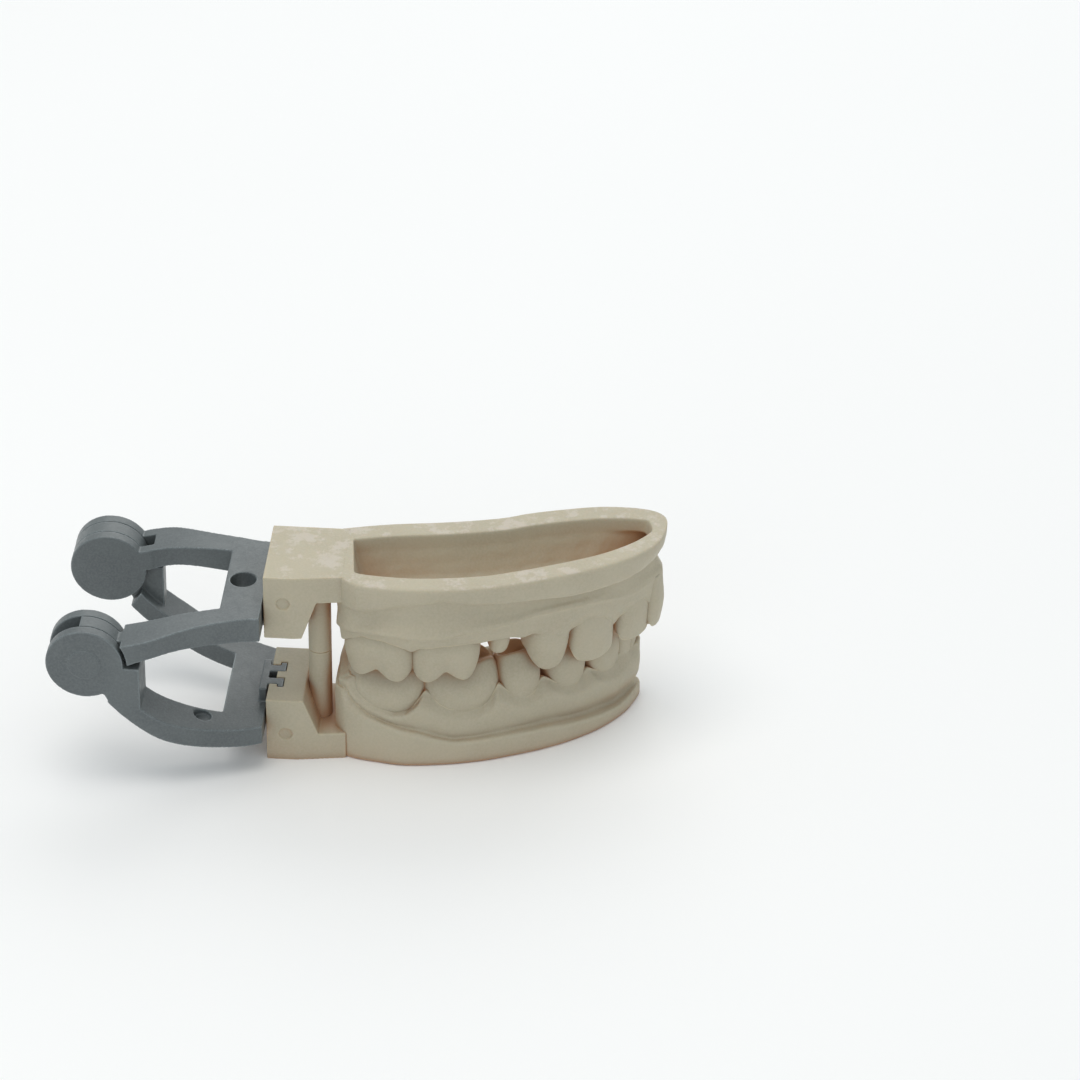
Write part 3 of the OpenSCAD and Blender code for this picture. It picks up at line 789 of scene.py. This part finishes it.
# Painted highlight along the resin's edges
RESIN_PAINTED_EDGE_HIGHLIGHT = (0.62, 0.54, 0.36)
GREY = ((0.096, 0.111, 0.116), (0.114, 0.131, 0.135))
GREY_GRAIN = (0.17, 0.19, 0.195)
# Painted shade for the grey plastic's creases and corners
GREY_PAINTED_CREASE_SHADE = (0.05, 0.055, 0.055)
# Painted highlight along the grey plastic's edges
GREY_PAINTED_EDGE_HIGHLIGHT = (0.35, 0.41, 0.43)


def resin_material():
    material, tree, shader = new_material("printed_resin")
    blotch = noise(tree, 90, 4)
    colour = mix(tree, ramp(tree, blotch, 0.35, 0.65), *RESIN)
    fine = noise(tree, 2600, 2, 0.6)
    colour = mix(tree, ramp(tree, fine, 0.3, 0.7, 0, 0.45), colour, RESIN_GRAIN)
    marks = ramp(tree, noise(tree, 330, 6, 0.75), 0.5, 0.6, 0, 0.5)
    colour = mix(tree, top_face(tree, marks), colour, RESIN_MARKS)
    # Painted shade: creases and corners darkened through an ambient occlusion mask
    colour = mix(tree, ramp(tree, occlusion_shade_mask(tree, 0.0022), 0.3, 0.93, 0.65, 0), colour, RESIN_PAINTED_CREASE_SHADE)
    # Painted shade: deep hollows such as the cavities darkened to warm brown through a wide ambient
    # occlusion mask, standing in for shade and bounced light
    colour = mix(tree, ramp(tree, occlusion_shade_mask(tree, 0.014), 0.15, 0.65, 0.9, 0), colour, RESIN_PAINTED_HOLLOW_SHADE)
    # Painted highlight: lighter colour where the surface turns at edges
    colour = mix(tree, ramp(tree, edges(tree, 0.0005), 0.985, 0.92, 0, 0.6), colour, RESIN_PAINTED_EDGE_HIGHLIGHT)
    tree.links.new(colour, shader.inputs["Base Color"])
    tree.links.new(ramp(tree, noise(tree, 700, 3), 0.3, 0.7, 0.5, 0.62), shader.inputs["Roughness"])
    shader.inputs["Specular IOR Level"].default_value = 0.35
    shader.inputs["Subsurface Weight"].default_value = 0.15
    shader.inputs["Subsurface Radius"].default_value = (1.0, 0.55, 0.3)
    shader.inputs["Subsurface Scale"].default_value = 0.0006
    bumps(tree, shader, [(noise(tree, 500, 3), 0.1, 0.0002), (fine, 0.12, 0.0001)])
    return material


def grey_material():
    material, tree, shader = new_material("moulded_grey_plastic")
    blotch = noise(tree, 120, 4)
    colour = mix(tree, ramp(tree, blotch, 0.35, 0.65), *GREY)
    fine = noise(tree, 3000, 2, 0.7)
    colour = mix(tree, ramp(tree, fine, 0.35, 0.7, 0, 0.4), colour, GREY_GRAIN)
    # Painted shade: creases and corners darkened through an ambient occlusion mask
    colour = mix(tree, ramp(tree, occlusion_shade_mask(tree, 0.002), 0.2, 0.8, 0.5, 0), colour, GREY_PAINTED_CREASE_SHADE)
    # Painted highlight: lighter colour where the surface turns at edges
    colour = mix(tree, ramp(tree, edges(tree, 0.00045), 0.985, 0.88, 0, 0.85), colour, GREY_PAINTED_EDGE_HIGHLIGHT)
    tree.links.new(colour, shader.inputs["Base Color"])
    tree.links.new(ramp(tree, noise(tree, 900, 3), 0.3, 0.7, 0.34, 0.46), shader.inputs["Roughness"])
    shader.inputs["Specular IOR Level"].default_value = 0.5
    bumps(tree, shader, [(noise(tree, 420, 2), 0.1, 0.0002), (fine, 0.25, 0.0001)])
    return material


# ---- CAD pieces that stay ----

def soften(node, material, voxel, rounds, keep):
    """Gives a CAD node the rounded edges of a moulding, by modifiers alone."""
    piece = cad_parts[node]
    piece.data.materials.clear()
    piece.data.materials.append(material)
    weld = piece.modifiers.new("weld", "WELD")
    weld.merge_threshold = 1e-7
    remesh = piece.modifiers.new("remesh", "REMESH")
    remesh.mode = "VOXEL"
    remesh.voxel_size = voxel * MM
    remesh.use_smooth_shade = True
    smooth = piece.modifiers.new("smooth", "SMOOTH")
    smooth.factor = 0.5
    smooth.iterations = rounds
    fewer = piece.modifiers.new("fewer", "DECIMATE")
    fewer.ratio = keep


# ---- Stage ----

# The camera's direction and roll, its lens, and in millimetres where it aims and from how far
AZIMUTH = math.radians(3.69)
ELEVATION = math.radians(33.57)
ROLL = math.radians(0.65)
LENS = 166.7
AIM = (39.7, 67.8, 0)
DISTANCE = 867.6
SKY = (0.93, 0.98, 1.0)
SKY_STRENGTH = 0.6
# Softboxes: place and size in metres, power in watts, colour
SOFTBOXES = (
    ("top_softbox", (-0.12, -0.1, 0.75), 0.45, 2.0, (1.0, 0.97, 0.93)),
    ("back_softbox", (0.1, 0.85, 0.62), 0.9, 3.2, (1.0, 0.99, 0.97)),
    ("front_softbox", (-0.25, -0.8, 0.45), 0.5, 0.5, (0.96, 0.99, 1.0)),
)
FLOOR_HALF = 4


def camera():
    data = bpy.data.cameras.new("camera")
    data.sensor_width = 36
    data.lens = LENS
    eye = bpy.data.objects.new("camera", data)
    scene.collection.objects.link(eye)
    back = Vector((math.sin(AZIMUTH) * math.cos(ELEVATION), -math.cos(AZIMUTH) * math.cos(ELEVATION),
                   math.sin(ELEVATION)))
    right = Vector((math.cos(AZIMUTH), math.sin(AZIMUTH), 0))
    up = back.cross(right)
    right = right * math.cos(ROLL) + up * math.sin(ROLL)
    up = back.cross(right)
    place = CORNER + (Vector(AIM) + back * DISTANCE) * MM
    eye.matrix_world = Matrix.Translation(place) @ Matrix((right, up, back)).transposed().to_4x4()
    scene.camera = eye


def area_light(name, place, size, power, colour):
    data = bpy.data.lights.new(name, "AREA")
    data.size = size
    data.energy = power
    data.color = colour
    light = bpy.data.objects.new(name, data)
    scene.collection.objects.link(light)
    light.location = place
    light.rotation_euler = (-Vector(place)).to_track_quat("-Z", "Y").to_euler()


def stage():
    world = bpy.data.worlds.new("studio")
    scene.world = world
    world.use_nodes = True
    sky = world.node_tree.nodes["Background"]
    sky.inputs["Color"].default_value = (*SKY, 1)
    sky.inputs["Strength"].default_value = SKY_STRENGTH
    for name, place, size, power, colour in SOFTBOXES:
        area_light(name, place, size, power, colour)
    mesh = bpy.data.meshes.new("floor")
    corners = [(x * FLOOR_HALF, y * FLOOR_HALF, 0) for x, y in ((-1, -1), (1, -1), (1, 1), (-1, 1))]
    mesh.from_pydata(corners, [], [(0, 1, 2, 3)])
    floor = bpy.data.objects.new("floor", mesh)
    scene.collection.objects.link(floor)
    material, tree, shader = new_material("pale_floor")
    shade = ramp(tree, noise(tree, 3, 2), 0.3, 0.7)
    tree.links.new(mix(tree, shade, (0.93, 0.93, 0.93), (0.95, 0.95, 0.95)), shader.inputs["Base Color"])
    shader.inputs["Roughness"].default_value = 0.9
    mesh.materials.append(material)
    scene.view_settings.view_transform = "Standard"


# ---- Build ----

camera()
stage()
resin = resin_material()
grey = grey_material()
for is_upper, make_base in ((True, upper_base), (False, lower_base)):
    arch = arch_crowns(is_upper)
    teeth(arch, is_upper, resin)
    make_base(resin, crown_tree(arch))
for side in ("lower", "upper"):
    soften(side + "_block", resin, voxel=0.12, rounds=4, keep=0.3)
    soften(side + "_post", resin, voxel=0.12, rounds=3, keep=0.4)
    soften(side + "_frame", grey, voxel=0.13, rounds=3, keep=0.3)
